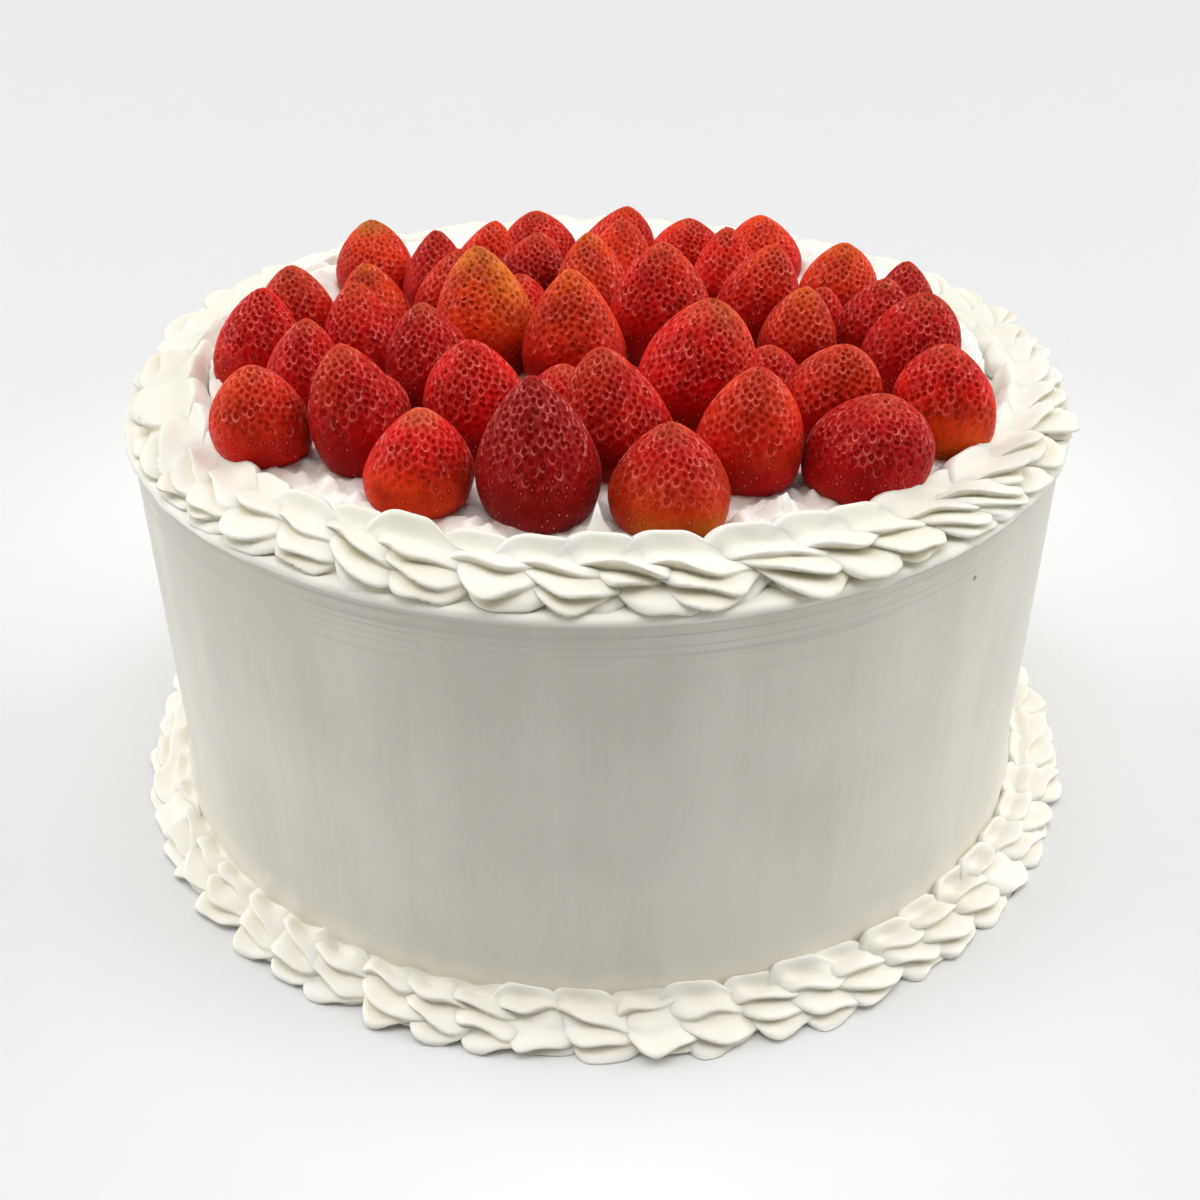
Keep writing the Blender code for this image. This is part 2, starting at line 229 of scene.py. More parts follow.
# Cream bed: how finely it is divided, the size of the hole in its grid's middle as a share, the waves that
# make it rough, the bank at its edge, how high its rough parts stand, and the radii where juice soaks it
# and painted shade and red reflected light darken it between the inner berries, and how strongly
BED_RINGS = 90
BED_AROUND = 480
BED_HOLE = 0.02
ROUGH_WAVES = 30
BANK_HEIGHT = 5.0 * MM
EDGE_ROUGH = 14 * MM
FOOT_ROUGH = 2.2 * MM
SOAKED_AND_SHADED_RADII = (88 * MM, 68 * MM)
SOAKED_AND_SHADED_STAIN = 2.5

# Peaks of cream between the berries and the rim: x, y, height and width in mm
CREAM_PEAKS = (
    (0, -101, 9.5, 4.0), (-24, -99, 3.5, 4.5), (-29, -96, 4.0, 3.0), (33, -97, 5.5, 5.0),
    (42, -92, 7.0, 7.0), (-55, -84, 4.0, 6.0), (-63, -76, 3.0, 5.0), (-90, -38, 3.0, 5.0),
    (98, -26, 4.5, 4.0), (94, -8, 4.0, 4.0),
)

# Linear colours of berry skin
DEEP_RED = (0.430, 0.0035, 0.0030)
BRIGHT_RED = (0.600, 0.0060, 0.0030)
ORANGE = (0.620, 0.0480, 0.0050)
YELLOW = (0.560, 0.1700, 0.0120)
OLIVE = (0.420, 0.1500, 0.0200)
DARK_RED = (0.250, 0.0025, 0.0025)
PIT_RED = (0.120, 0.0015, 0.0015)
# Painted highlight: the pale rings round the pits
NET_HIGHLIGHT_PINK = (0.850, 0.2100, 0.1700)
# Tan of the tips: partly their own colour and partly painted sheen from the light above
TIP_TAN_AND_SHEEN = (0.520, 0.1350, 0.0420)
SEED_PINK = (0.640, 0.1800, 0.1100)

# Tints of each berry's skin. Each is a colour, its strength, the levels where it starts and where it is
# full (0 at the foot and 1 at the tip), and the side in degrees that it lies on, if it has one (-90 is the
# front and 0 the right).
TINTS = {
    1: ((ORANGE, 0.7, 0.35, 0.75, 190), (BRIGHT_RED, 1.0, 0.5, 0.2, None), (ORANGE, 0.35, 0.0, 0.5, None)),
    2: ((TIP_TAN_AND_SHEEN, 0.3, 0.8, 1.0, None), (ORANGE, 0.75, 0.75, 0.30, -90)),
    3: ((DARK_RED, 0.95, 1.2, 0.9, None),),
    4: ((ORANGE, 0.95, 0.85, 0.35, None), (YELLOW, 0.85, 0.42, 0.15, -60)),
    5: ((DEEP_RED, 1.0, 1.1, 0.7, None), (ORANGE, 0.4, 0.25, 0.0, None)),
    6: ((DARK_RED, 0.5, 0.6, 1.0, None), (ORANGE, 0.95, 0.8, 0.3, -70), (YELLOW, 0.5, 0.4, 0.0, -90)),
    7: ((ORANGE, 0.7, 0.1, 0.9, 190), (DEEP_RED, 1.0, 1.1, 0.3, None)),
    8: ((BRIGHT_RED, 0.8, 0.0, 0.5, None), (DARK_RED, 0.4, 0.4, 0.1, None)),
    9: ((ORANGE, 0.5, 0.4, 0.9, 200), (DEEP_RED, 0.9, 0.6, 0.2, None)),
    10: ((ORANGE, 0.7, 0.35, 0.9, None), (ORANGE, 0.9, 0.6, 0.1, -40), (BRIGHT_RED, 1.0, 0.4, 0.2, None)),
    11: ((ORANGE, 0.75, 0.35, 1.0, None),),
    12: ((BRIGHT_RED, 0.9, 0.0, 0.4, None), (ORANGE, 0.5, 0.4, 0.0, 220)),
    13: ((DEEP_RED, 0.8, 0.7, 0.2, None),),
    14: ((ORANGE, 0.5, 0.6, 1.0, None),),
    16: ((DARK_RED, 0.8, 0.6, 0.0, None), (TIP_TAN_AND_SHEEN, 0.3, 0.5, 0.9, None)),
    17: ((ORANGE, 0.9, 0.3, 0.9, None), (OLIVE, 0.4, 0.8, 1.0, None)),
    18: ((ORANGE, 0.95, 0.25, 0.85, None), (YELLOW, 0.35, 0.8, 1.0, None)),
    19: ((ORANGE, 0.8, 0.4, 0.9, 20), (OLIVE, 0.5, 0.75, 1.0, 0), (DEEP_RED, 0.6, 0.9, 0.2, 210)),
    20: ((ORANGE, 1.0, 0.1, 0.5, None), (YELLOW, 0.8, 0.3, 0.8, 10), (OLIVE, 0.6, 0.78, 0.98, None),
         (YELLOW, 0.5, 0.7, 0.95, 200), (BRIGHT_RED, 0.6, 0.75, 0.3, 215)),
    21: ((ORANGE, 0.4, 0.3, 0.8, 20),),
    22: ((ORANGE, 0.75, 0.2, 0.8, None), (YELLOW, 0.35, 0.75, 1.0, None)),
    23: ((ORANGE, 0.7, 0.5, 1.0, None),),
    24: ((DEEP_RED, 0.9, 0.9, 0.4, None),),
    25: ((DEEP_RED, 1.0, 0.9, 0.2, None),),
    26: ((DARK_RED, 0.6, 0.0, 0.6, None),),
    27: ((ORANGE, 0.95, 0.2, 0.8, None), (YELLOW, 0.4, 0.75, 1.0, None)),
    28: ((ORANGE, 0.5, 0.4, 0.9, None),),
    29: ((DARK_RED, 0.95, 0.9, 0.5, None),),
    30: ((ORANGE, 0.95, 0.3, 0.8, None), (OLIVE, 0.4, 0.8, 1.0, None)),
    31: ((ORANGE, 0.5, 0.2, 0.7, None),),
    33: ((ORANGE, 0.7, 0.3, 0.8, None), (OLIVE, 0.9, 0.80, 0.98, None)),
    34: ((DARK_RED, 0.6, 0.3, 0.8, None),),
    35: ((ORANGE, 0.4, 0.3, 0.9, None),),
    37: ((ORANGE, 0.3, 0.3, 0.9, None),),
    39: ((ORANGE, 0.7, 0.4, 1.0, None),),
}

# How bright each berry's skin is, where it differs from the rest
SHADES = {
    1: 1.20, 2: 1.30, 4: 0.95, 6: 1.45, 8: 1.12, 10: 1.25, 11: 1.10, 12: 1.10, 15: 0.80, 18: 1.20,
    19: 1.25, 20: 1.22, 24: 0.90, 25: 0.85, 26: 0.88, 28: 0.95, 29: 0.75, 36: 0.88, 37: 0.92,
}


def smooth(low, high, value):
    """0 at low, 1 at high, and a smooth ramp between."""
    share = np.clip((value - low) / (high - low), 0.0, 1.0)
    return share * share * (3 - 2 * share)


def add_piece(name, points, faces, node, material):
    """A smooth-shaded mesh piece that stands for a CAD node."""
    mesh = bpy.data.meshes.new(name)
    mesh.from_pydata(np.asarray(points).tolist(), [], faces)
    mesh.shade_smooth()
    mesh.materials.append(material)
    piece = bpy.data.objects.new(name, mesh)
    bpy.context.scene.collection.objects.link(piece)
    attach(piece, "root")
    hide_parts(node)
    return piece


def grid_faces(rows, columns, first=0):
    """Faces of a grid of points that closes on itself along its columns, with a lid at each end."""
    faces = []
    for row in range(rows - 1):
        for column in range(columns):
            after = (column + 1) % columns
            low, high = first + row * columns, first + (row + 1) * columns
            faces.append((low + column, low + after, high + after, high + column))
    last = first + (rows - 1) * columns
    faces.append(tuple(range(first + columns - 1, first - 1, -1)))
    faces.append(tuple(range(last, last + columns)))
    return faces


def new_material(name):
    """A node material and its node tree, with the shader in place."""
    material = bpy.data.materials.new(name)
    material.use_nodes = True
    tree = material.node_tree
    return material, tree, tree.nodes["Principled BSDF"]


def set_inputs(shader, values):
    """Gives a shader's inputs their values."""
    for name, value in values.items():
        shader.inputs[name].default_value = value


def add_node(tree, kind, inputs=(), **settings):
    """A shader node. inputs pairs a socket with a value or with another node's output."""
    node = tree.nodes.new(kind)
    for key, value in settings.items():
        setattr(node, key, value)
    for socket, value in inputs:
        if isinstance(value, bpy.types.NodeSocket):
            tree.links.new(value, node.inputs[socket])
        else:
            node.inputs[socket].default_value = value
    return node


def maths(tree, operation, first, second=0.0, third=0.0):
    """The output of a Math node."""
    inputs = ((0, first), (1, second), (2, third))
    return add_node(tree, "ShaderNodeMath", inputs, operation=operation).outputs[0]


def times(tree, first, second):
    """One output times another."""
    return maths(tree, "MULTIPLY", first, second)


def place_on(tree):
    """The place on the object, in metres."""
    return add_node(tree, "ShaderNodeTexCoord").outputs["Object"]


def distance(tree, place, point):
    """How far a place lies from a point."""
    inputs = ((0, place), (1, point))
    return add_node(tree, "ShaderNodeVectorMath", inputs, operation="DISTANCE").outputs["Value"]


def ramp(tree, value, low, high, start=0.0, end=1.0):
    """A smooth ramp from start at low to end at high."""
    inputs = (("Value", value), (1, low), (2, high), (3, start), (4, end))
    node = add_node(tree, "ShaderNodeMapRange", inputs, interpolation_type="SMOOTHSTEP")
    return node.outputs["Result"]


def mixed(tree, share, first, second):
    """A colour between two others."""
    node = add_node(tree, "ShaderNodeMix", (("Factor", share),), data_type="RGBA")
    for socket, value in ((6, first), (7, second)):
        if isinstance(value, bpy.types.NodeSocket):
            tree.links.new(value, node.inputs[socket])
        else:
            node.inputs[socket].default_value = (*value, 1.0)
    return node.outputs[2]


def noise(tree, coordinates, scale, detail=3.0, roughness=0.5):
    """The output of a noise texture."""
    inputs = (("Vector", coordinates), ("Scale", scale), ("Detail", detail), ("Roughness", roughness))
    return add_node(tree, "ShaderNodeTexNoise", inputs).outputs["Fac"]


def bump(tree, height, strength, distance, below=None):
    """The normal of a bump map, over another bump if one is given."""
    inputs = [("Height", height), ("Strength", strength), ("Distance", distance)]
    if below is not None:
        inputs.append(("Normal", below))
    return add_node(tree, "ShaderNodeBump", inputs).outputs["Normal"]


def cream_material(name, tones, grain):
    """Whipped cream: soft and slightly see-through, with fine grain and slow changes between two tones."""
    material, tree, shader = new_material(name)
    place = place_on(tree)
    slow = noise(tree, place, 45.0)
    fine = noise(tree, place, 900.0, detail=4.0)
    tree.links.new(mixed(tree, ramp(tree, slow, 0.35, 0.65), *tones), shader.inputs["Base Color"])
    tree.links.new(ramp(tree, fine, 0.3, 0.7, 0.39, 0.51), shader.inputs["Roughness"])
    tree.links.new(bump(tree, fine, grain, 0.2 * MM), shader.inputs["Normal"])
    set_inputs(shader, {
        "Subsurface Weight": 0.20, "Subsurface Radius": (1.0, 0.90, 0.75), "Subsurface Scale": 2.0 * MM,
        "Specular IOR Level": 0.35,
    })
    return material


def tint_cream(material, share, tint):
    """Mixes a tint into a cream material's colour."""
    tree = material.node_tree
    socket = tree.nodes["Principled BSDF"].inputs["Base Color"]
    tree.links.new(mixed(tree, share, socket.links[0].from_socket, tint), socket)


def bed_material():
    """The cream under the berries, tinted pink and red by their juice and by painted shade and red
    reflected light.
    """
    material = cream_material("rough_cream", BED_CREAM_PAINTED_LIGHT, 0.25)
    tree = material.node_tree
    juice_and_shade = add_node(tree, "ShaderNodeVertexColor", layer_name="juice_and_shade").outputs["Color"]
    place = place_on(tree)
    blotches = ramp(tree, noise(tree, place, 260.0), 0.42, 0.62)
    soaked_and_shaded = times(tree, juice_and_shade, maths(tree, "MULTIPLY_ADD", blotches, 0.38, 0.06))
    tint_cream(material, soaked_and_shaded, JUICE_AND_SHADE_TINT)
    return material


def wall_marks(tree, place, height, colour):
    """The wall's colour, with the smear at its foot, painted light that lightens its lip, and the dark
    speck.
    """
    ragged = maths(tree, "MULTIPLY_ADD", noise(tree, place, 160.0), SMEAR_RAGGED, height)
    colour = mixed(tree, ramp(tree, ragged, *SMEAR_HEIGHTS, 0.9, 0.0), colour, SMEAR_TINT)
    foot = CAKE_HEIGHT - LIP_DEPTH
    # Painted light: the lip is lighter than the wall below it
    colour = mixed(tree, ramp(tree, height, foot - LIP_SOFT, foot + LIP_SOFT), colour, LIP_PAINTED_LIGHT)
    off_speck = distance(tree, place, SPECK_PLACE)
    speck = ramp(tree, off_speck, 0.5 * SPECK_RADIUS, 1.3 * SPECK_RADIUS, 0.75, 0.0)
    return mixed(tree, speck, colour, SPECK_TINT)


def wall_material():
    """The wall's cream: smooth, with soft upright streaks and the scraper's fine level lines."""
    material, tree, shader = new_material("wall_cream")
    place = place_on(tree)
    upright = add_node(tree, "ShaderNodeMapping", (("Vector", place), ("Scale", STREAK_SCALE)))
    level = add_node(tree, "ShaderNodeMapping", (("Vector", place), ("Scale", LINE_SCALE)))
    streaks = noise(tree, upright.outputs["Vector"], 1.0, detail=5.0, roughness=0.65)
    lines = noise(tree, level.outputs["Vector"], 1.0, detail=0.0)
    clouds = noise(tree, place, 22.0)
    height = add_node(tree, "ShaderNodeSeparateXYZ", (("Vector", place),)).outputs["Z"]
    tone_and_shade = maths(tree, "ADD", times(tree, streaks, 0.6), times(tree, clouds, 0.4))
    # Painted shade high on the wall and painted light low on it
    tone_and_shade = maths(tree, "ADD", tone_and_shade, ramp(tree, height, *LIGHT_AND_SHADE_HEIGHTS, LIGHT_AND_SHADE_SHIFT, -LIGHT_AND_SHADE_SHIFT))
    colour = mixed(tree, ramp(tree, tone_and_shade, 0.36, 0.64), *WALL_CREAM_PAINTED_SHADE)
    scraped = times(tree, ramp(tree, height, *LINE_HEIGHTS), ramp(tree, clouds, 0.40, 0.58, 0.4, 1.0))
    off_line = maths(tree, "ABSOLUTE", maths(tree, "SUBTRACT", lines, 0.5))
    thin = times(tree, ramp(tree, off_line, 0.0, 0.075, 1.0, 0.0), scraped)
    colour = mixed(tree, times(tree, thin, 0.50), colour, LINE_TINT)
    tree.links.new(wall_marks(tree, place, height, colour), shader.inputs["Base Color"])
    tree.links.new(ramp(tree, streaks, 0.3, 0.7, 0.42, 0.58), shader.inputs["Roughness"])
    relief = bump(tree, thin, 0.3, -0.12 * MM)
    tree.links.new(bump(tree, streaks, 0.25, 0.25 * MM, relief), shader.inputs["Normal"])
    set_inputs(shader, {
        "Sheen Weight": 0.12, "Sheen Roughness": 0.35, "Subsurface Weight": 0.15,
        "Subsurface Radius": (1.0, 0.8, 0.5), "Subsurface Scale": 2.0 * MM, "Specular IOR Level": 0.35,
    })
    return material


def skin_ground(tree, place, skin):
    """A berry's skin between its marks, with darker patches and brighter mottles."""
    patches = noise(tree, place, 110.0, detail=2.0)
    mottle = noise(tree, place, 420.0, detail=3.0)
    ground = mixed(tree, ramp(tree, patches, 0.35, 0.70, 0.0, 0.55), skin, DARK_RED)
    return mixed(tree, ramp(tree, mottle, 0.40, 0.70, 0.0, 0.20), ground, BRIGHT_RED)


def skin_net_highlight(tree, place, up, away, outward, chance):
    """How much painted highlight, a pale ring, shows round a pit: unevenly, more on its lower side, which
    catches the light from above, more on some pits.
    """
    patchy = ramp(tree, noise(tree, place, 300.0, detail=1.0), 0.35, 0.62, 0.25, 1.0)
    wobble = noise(tree, place, 900.0, detail=2.0)
    edge = maths(tree, "ADD", outward, maths(tree, "MULTIPLY_ADD", wobble, 0.36, -0.18))
    ring = times(tree, ramp(tree, edge, 0.58, 0.80), ramp(tree, edge, 0.86, 1.14, 1.0, 0.22))
    upward = maths(tree, "DIVIDE", up, maths(tree, "ADD", away, 0.05))
    below = ramp(tree, upward, -0.9, 0.8, 1.0, 0.30)
    picked = maths(tree, "FRACT", times(tree, chance, 7.3))
    strong = ramp(tree, picked, 0.0, 0.8, 0.40, 1.0)
    ring = times(tree, ring, patchy)
    return times(tree, ring, times(tree, below, strong))


def skin_seeds(tree, away, upper, chance):
    """How much of a seed shows in the middle of its pit: less high up, where the pits are deep."""
    size = maths(tree, "MULTIPLY_ADD", chance, 0.10, 0.12)
    seed = ramp(tree, maths(tree, "SUBTRACT", size, away), -0.06, 0.05)
    showing = times(tree, ramp(tree, chance, 0.2, 1.0), ramp(tree, upper, 0.0, 1.0, 0.95, 0.15))
    return times(tree, seed, showing)


def first_two(tree, vector):
    """The first two numbers of a vector."""
    parts = add_node(tree, "ShaderNodeSeparateXYZ", (("Vector", vector),)).outputs
    return parts["X"], parts["Y"]


def berry_material():
    """Strawberry skin: dark pits in a web of pale rings above, which are painted highlights, and small pale
    seeds below.
    """
    material, tree, shader = new_material("strawberry_skin")
    up, around = first_two(tree, add_node(tree, "ShaderNodeUVMap", uv_map="cell").outputs["UV"])
    share, chance = first_two(tree, add_node(tree, "ShaderNodeUVMap", uv_map="facts").outputs["UV"])
    painted = add_node(tree, "ShaderNodeVertexColor", layer_name="skin")
    skin, level = painted.outputs["Color"], painted.outputs["Alpha"]
    place = place_on(tree)
    along = times(tree, up, CELL_SQUEEZE)
    square = times(tree, along, along)
    square = maths(tree, "ADD", square, times(tree, around, around))
    away = maths(tree, "SQRT", square)
    half_cell = ramp(tree, level, 0.0, 1.0, 0.5 * FOOT_SPACING / MM, 0.5 * TIP_SPACING / MM)
    outward = maths(tree, "DIVIDE", away, half_cell)
    upper = ramp(tree, maths(tree, "MULTIPLY_ADD", chance, 0.30, level), 0.46, 0.86)
    ground = skin_ground(tree, place, skin)
    net_highlight = skin_net_highlight(tree, place, up, away, outward, chance)
    hollow = ramp(tree, outward, 0.36, 0.62, 1.0, 0.0)
    seeds = skin_seeds(tree, away, upper, chance)
    ring_highlight = times(tree, net_highlight, maths(tree, "MULTIPLY_ADD", upper, 0.92, 0.06))
    pitted = times(tree, hollow, maths(tree, "MULTIPLY_ADD", upper, 0.7, 0.3))
    # Painted highlights on the rings round the pits
    colour = mixed(tree, ring_highlight, ground, mixed(tree, 0.85, ground, NET_HIGHLIGHT_PINK))
    colour = mixed(tree, pitted, colour, mixed(tree, 0.38, ground, PIT_RED))
    tree.links.new(mixed(tree, seeds, colour, SEED_PINK), shader.inputs["Base Color"])
    tree.links.new(ramp(tree, share, 0.3, 0.8, 0.60, 0.34), shader.inputs["Roughness"])
    height = maths(tree, "ADD", times(tree, seeds, 0.7), times(tree, net_highlight, 0.30))
    grain = bump(tree, noise(tree, place, 1400.0), 0.06, 0.1 * MM)
    tree.links.new(bump(tree, height, 0.5, 0.30 * MM, grain), shader.inputs["Normal"])
    set_inputs(shader, {
        "Specular IOR Level": 0.05, "Sheen Weight": 0.03, "Sheen Roughness": 0.45,
        "Sheen Tint": (1.0, 0.72, 0.62, 1.0), "Subsurface Weight": 0.10,
        "Subsurface Radius": (1.0, 0.10, 0.05), "Subsurface Scale": 2.0 * MM,
    })
    return material


def wall_rings(angles, dice):
    """Heights and radii of the wall's rings, from its underside up over the lip to its flat top."""
    waves = [(k, dice.uniform(0, math.tau), dice.uniform(0.3, 1.0)) for k in (2, 3, 5, 8, 13)]
    wave = sum(a * np.cos(k * angles + p) for k, p, a in waves) / 3
    ragged = sum(np.cos(k * angles + dice.uniform(0, math.tau)) for k in (17, 29, 47, 71)) / 4
    foot = CAKE_HEIGHT - LIP_DEPTH
    rings = [(0.0, UNDERSIDE_RADIUS)]
    for height in np.linspace(0.0, foot, WALL_ROWS):
        lean = WALL_WAVE * wave * math.sin(math.pi * height / foot)
        fillet = FOOT_FILLET * (1 + 0.3 * ragged) * float(smooth(*FILLET_HEIGHTS, height)) ** 1.5
        rings.append((height, WALL_RADIUS + lean + fillet))
    for rise, out in LIP_OUTLINE:
        jag = LIP_JAG * ragged if rise < LIP_JAGGED_UP_TO else 0.0
        width = out * MM * (0.9 + 0.25 * wave + 0.3 * ragged)
        rings.append((foot + rise * MM + jag, WALL_RADIUS + width))
    rings += [(CAKE_HEIGHT, radius) for radius in TOP_RADII]
    return rings


def build_wall():
    """The cake's wall with its lip, top and underside, in one closed skin."""
    angles = np.linspace(0, math.tau, WALL_AROUND, endpoint=False)
    rings = wall_rings(angles, np.random.default_rng(SEED))
    points = np.concatenate([
        np.stack([radius * np.cos(angles), radius * np.sin(angles), height + 0 * angles], 1)
        for height, radius in rings
    ])
    faces = grid_faces(len(rings), WALL_AROUND)
    add_piece("cake_wall", points, faces, "cake_body", wall_material())


class Berry:
    """A strawberry's form, measured from its CAD solid."""

    def __init__(self, number, node, dice):
        self.number = number
        points = np.array([vertex.co[:] for vertex in node.data.vertices]).round(6)
        self.rings = []
        for height in np.unique(points[:, 2].round(5)):
            ring = np.unique(points[np.abs(points[:, 2] - height) < 0.02 * MM][:, :2].round(5), axis=0)
            centre = ring.mean(axis=0)
            self.rings.append((height, centre, np.hypot(*(ring - centre).T).mean()))
        self.seat = self.rings[0][0]
        self.height = self.rings[-1][0] - self.seat
        self.foot = self.rings[0][1]
        self.lean = self.rings[-1][1] - self.foot
        self.half_width = self.rings[1][2]
        upper = (self.rings[2][0] - self.seat) / self.height
        share = (upper - BERRY_WIDEST) / (1 - BERRY_WIDEST)
        narrowed = self.rings[2][2] / self.half_width
        self.taper = math.log(1 - narrowed ** (1 / TIP_ROUND)) / math.log(share)
        self.lobes = [(k, dice.uniform(0, math.tau), dice.uniform(0.4, 1.0)) for k in (2, 3, 4)]
        self.start = dice.uniform(0, math.tau)

    def radius(self, level):
        """The plain radius at a level from 0 at the cut face to 1 at the tip."""
        below = np.clip((BERRY_WIDEST - level) / BERRY_WIDEST, 0, 1)
        low = BERRY_CUT_FACE + (1 - BERRY_CUT_FACE) * np.sqrt(1 - below**2)
        above = np.clip((level - BERRY_WIDEST) / (1 - BERRY_WIDEST), 0, 1)
        high = (1 - above**self.taper) ** TIP_ROUND
        return self.half_width * np.where(level < BERRY_WIDEST, low, high)

    def place(self, level, angle):
        """Points on the berry's skin before its pits."""
        swell = sum(a * np.cos(k * angle + p + 1.5 * level) for k, p, a in self.lobes)
        radius = self.radius(level) * (1 + BERRY_LUMPS * swell)
        x = self.foot[0] + self.lean[0] * level + radius * np.cos(angle)
        y = self.foot[1] + self.lean[1] * level + radius * np.sin(angle)
        return np.stack([x, y, self.seat + self.height * level], -1)

    def directions(self, level, angle):
        """Unit vectors up the skin, round it and out of it."""
        step = 1e-3
        level = np.clip(level, step, 1 - 2 * step)
        up = self.place(level + step, angle) - self.place(level - step, angle)
        around = self.place(level, angle + step) - self.place(level, angle - step)
        up /= np.linalg.norm(up, axis=-1, keepdims=True)
        around /= np.linalg.norm(around, axis=-1, keepdims=True)
        out = np.cross(around, up)
        out /= np.linalg.norm(out, axis=-1, keepdims=True)
        return up, around, out

    def skin(self, level, points):
        """The skin's colour at points on it, with this berry's tints, and painted light and shade."""
        # Painted light from above: lighter up towards the tip
        brighter = 0.40 + 0.40 * smooth(0.30, 0.75, level)[:, None]
        colour = DEEP_RED + (np.array(BRIGHT_RED) - DEEP_RED) * brighter
        # Tan tip: partly its own colour and partly painted sheen
        colour += (np.array(TIP_TAN_AND_SHEEN) - colour) * 0.45 * smooth(0.82, 1.0, level)[:, None]
        # Painted light from behind: berries at the back turn more orange up high
        behind = smooth(-30 * MM, 50 * MM, self.foot[1])
        inner = smooth(100 * MM, 70 * MM, math.hypot(*self.foot))
        colour += (np.array(ORANGE) - colour) * 0.25 * behind * smooth(0.3, 0.8, level)[:, None]
        axis = self.foot + self.lean * level[:, None]
        angle = np.arctan2(points[:, 1] - axis[:, 1], points[:, 0] - axis[:, 0])
        for tint, strength, start, full, side in TINTS.get(self.number, ()):
            share = strength * smooth(start, full, level)
            if side is not None:
                share = share * smooth(-0.3, 0.9, np.cos(angle - math.radians(side)))
            colour += (np.array(tint) - colour) * share[:, None]
        # Painted light from behind: berries at the back are lighter up high
        colour *= 1 + 0.25 * behind * smooth(0.2, 0.6, level)[:, None]
        # Painted shade low down on the berries near the middle, between their neighbours
        colour *= 1 - 0.40 * inner * smooth(0.55, 0.15, level)[:, None]
        # Painted shadow at each berry's foot, where it meets the cream
        colour *= 1 - 0.65 * smooth(0.20, 0.03, level)[:, None]
        colour *= SHADES.get(self.number, 1.0)
        return colour

    def seed_table(self):
        """Levels, and how many seeds lie below each of them."""
        levels = 1 - (1 - np.linspace(0, 1, 500)) ** 1.6
        radius = self.radius(levels)
        rise = np.diff(levels) * self.height
        slant = np.hypot(np.diff(radius), rise)
        middle = 0.5 * (radius[1:] + radius[:-1])
        spacing = FOOT_SPACING + (TIP_SPACING - FOOT_SPACING) * 0.5 * (levels[1:] + levels[:-1])
        count = math.tau * middle * slant / (CELL_AREA * spacing**2)
        return levels, np.concatenate([[0.0], np.cumsum(count)])


def hull_triangles(points):
    """The triangles of points spread over a ball, by their indices."""
    shape = bmesh.new()
    vertices = [shape.verts.new(point) for point in points]
    shape.verts.index_update()
    result = bmesh.ops.convex_hull(shape, input=vertices)
    triangles = [
        [vertex.index for vertex in item.verts]
        for item in result["geom"] if isinstance(item, bmesh.types.BMFace)
    ]
    shape.free()
    return np.array(triangles)


def ball_triangles(seed_angle, seed_height):
    """The triangles between seeds on a ball that has a ring of points under them, and their middles."""
    ring_angle = np.linspace(0, math.tau, RING_POINTS, endpoint=False)
    angle = np.concatenate([seed_angle, ring_angle, [0.0]])
    height = np.concatenate([seed_height, np.full(RING_POINTS, BALL_RING), [-1.0]])
    flat = np.sqrt(1 - height**2)
    ball = np.stack([flat * np.cos(angle), flat * np.sin(angle), height], 1)
    triangles = hull_triangles(ball)
    middles = ball[triangles].sum(axis=1)
    return triangles, middles / np.linalg.norm(middles, axis=1, keepdims=True)


def divide_skin(berry, dice):
    """The places of a berry's seeds, which triangles lie between them, and the places of their corners.

    Each place is a level and an angle. A triangle becomes one corner, where the cells of three seeds meet.
    """
    levels, counts = berry.seed_table()
    total = int(counts[-1])
    order = np.arange(total) + 0.5
    seed_level = np.interp(order, counts, levels)
    seed_angle = berry.start + GOLDEN_ANGLE * order
    seed_angle += dice.uniform(-0.09, 0.09, total)
    seed_level = np.clip(seed_level + dice.uniform(-0.010, 0.010, total), 0.005, 0.995)
    triangles, middles = ball_triangles(seed_angle, BALL_FOOT + (1 - BALL_FOOT) * order / total)
    shares = np.clip((middles[:, 2] - BALL_FOOT) / (1 - BALL_FOOT), 0, 1) * total
    corner_level = np.interp(shares, counts, levels)
    corner_level[(triangles >= total).any(axis=1)] = 0.0
    corner_angle = np.arctan2(middles[:, 1], middles[:, 0])
    return (seed_level, seed_angle), triangles, (corner_level, corner_angle)


def corners_by_seed(triangles, total):
    """For each seed, the triangles that touch it."""
    touching = [[] for _ in range(total)]
    for index, triangle in enumerate(triangles):
        for vertex in triangle:
            if vertex < total:
                touching[vertex].append(index)
    return touching


